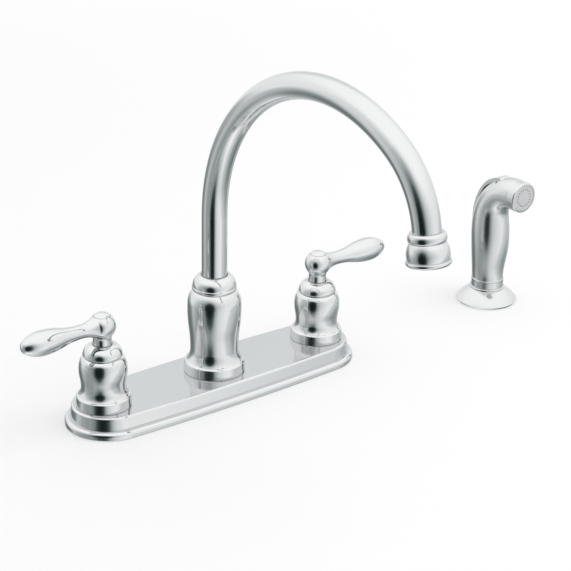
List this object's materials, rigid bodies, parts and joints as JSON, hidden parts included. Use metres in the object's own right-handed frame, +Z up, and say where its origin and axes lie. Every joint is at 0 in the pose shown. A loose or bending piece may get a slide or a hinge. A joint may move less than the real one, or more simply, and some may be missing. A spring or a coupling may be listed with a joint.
{
  "type": "kitchen faucet",
  "caption": "Chrome deck-mounted kitchen faucet with a swivelling high-arc spout, lever handles on bell-shaped bonnets, a long deck plate and a lift-out side spray.",
  "frame": {"origin": "on the sink deck plane, under the spout swivel axis, at the middle of the deck plate", "axes": "+X along the deck plate to the cold handle and the side spray, -Y to the user, +Z up"},
  "size_m": [0.489, 0.2872, 0.3361],
  "materials": {
    "chrome": "polished chrome plate",
    "plated_plastic": "chrome-plated plastic",
    "grey_plastic": "satin grey",
    "moulded_plastic": "moulded acetal",
    "rubber": "matt",
    "ceramic": "lapped",
    "steel": "stainless",
    "brass": "machined"
  },
  "bodies": {
    "base": {"cold_bonnet": "chrome", "cold_bonnet_nut": "chrome", "cold_cartridge_nut": "brass", "cold_cartridge_shell": "brass", "cold_crossover_tube": "brass", "cold_disc_seal": "rubber", "cold_fixed_disc": "ceramic", "cold_mounting_nut": "moulded_plastic", "cold_mounting_washer": "steel", "cold_valve_body": "brass", "deck_gasket": "rubber", "deck_plate": "chrome", "diverter_seat": "brass", "hot_bonnet": "chrome", "hot_bonnet_nut": "chrome", "hot_cartridge_nut": "brass", "hot_cartridge_shell": "brass", "hot_crossover_tube": "brass", "hot_disc_seal": "rubber", "hot_fixed_disc": "ceramic", "hot_mounting_nut": "moulded_plastic", "hot_mounting_washer": "steel", "hot_valve_body": "brass", "spout_bearing_washer": "moulded_plastic", "spout_hub": "chrome", "spout_nut": "chrome", "spout_post": "brass", "spray_holder": "plated_plastic", "spray_holder_gasket": "rubber", "spray_holder_nut": "moulded_plastic"},
    "spout": {"spout_shank": "brass", "spout_o_ring_lower": "rubber", "spout_o_ring_upper": "rubber", "spout_tube": "chrome", "aerator_housing": "chrome", "aerator_washer": "rubber", "aerator_insert": "moulded_plastic"},
    "hot_handle": {"hot_lever": "chrome", "hot_handle_screw": "steel", "hot_handle_cap": "chrome", "hot_stem": "brass", "hot_turning_disc": "ceramic", "hot_stem_o_ring": "rubber"},
    "cold_handle": {"cold_lever": "chrome", "cold_handle_screw": "steel", "cold_handle_cap": "chrome", "cold_stem": "brass", "cold_turning_disc": "ceramic", "cold_stem_o_ring": "rubber"},
    "diverter": {"diverter_poppet": "moulded_plastic"},
    "spray": {"spray_body": "plated_plastic", "spray_ferrule": "plated_plastic", "spray_hose_nipple": "moulded_plastic", "spray_nozzle": "plated_plastic", "spray_face": "grey_plastic", "trigger_pin": "steel"},
    "trigger": {"spray_trigger": "plated_plastic"},
    "plunger": {"spray_plunger": "moulded_plastic"}
  },
  "joints": [
    {"name": "spout_swivel", "type": "hinge", "parent": "base", "child": "spout", "pos_m": [0, 0, 0.08], "axis": [0, 0, 1], "continuous": true},
    {"name": "hot_handle_turn", "type": "hinge", "parent": "base", "child": "hot_handle", "pos_m": [-0.1016, 0, 0.06], "axis": [0, 0, 1], "range_deg": [0, 90]},
    {"name": "cold_handle_turn", "type": "hinge", "parent": "base", "child": "cold_handle", "pos_m": [0.1016, 0, 0.06], "axis": [0, 0, 1], "range_deg": [-90, 0]},
    {"name": "diverter_lift", "type": "slide", "parent": "base", "child": "diverter", "axis": [0, 0, 1], "range_m": [0, 0.0025]},
    {"name": "spray_lift", "type": "slide", "parent": "base", "child": "spray", "axis": [0, 0, 1], "range_m": [0, 0.12]},
    {"name": "trigger_press", "type": "hinge", "parent": "spray", "child": "trigger", "pos_m": [0.293, -0.011, 0.1126], "axis": [-1, 0, 0], "range_deg": [0, 5], "stiffness_Nm_per_rad": 1},
    {"name": "plunger_push", "type": "slide", "parent": "spray", "child": "plunger", "axis": [0, -1, 0], "range_m": [0, 0.0025]}
  ],
  "couplings": [
    {"joint": "plunger_push", "follows": "trigger_press", "m_per_rad": 0.0236}
  ]
}
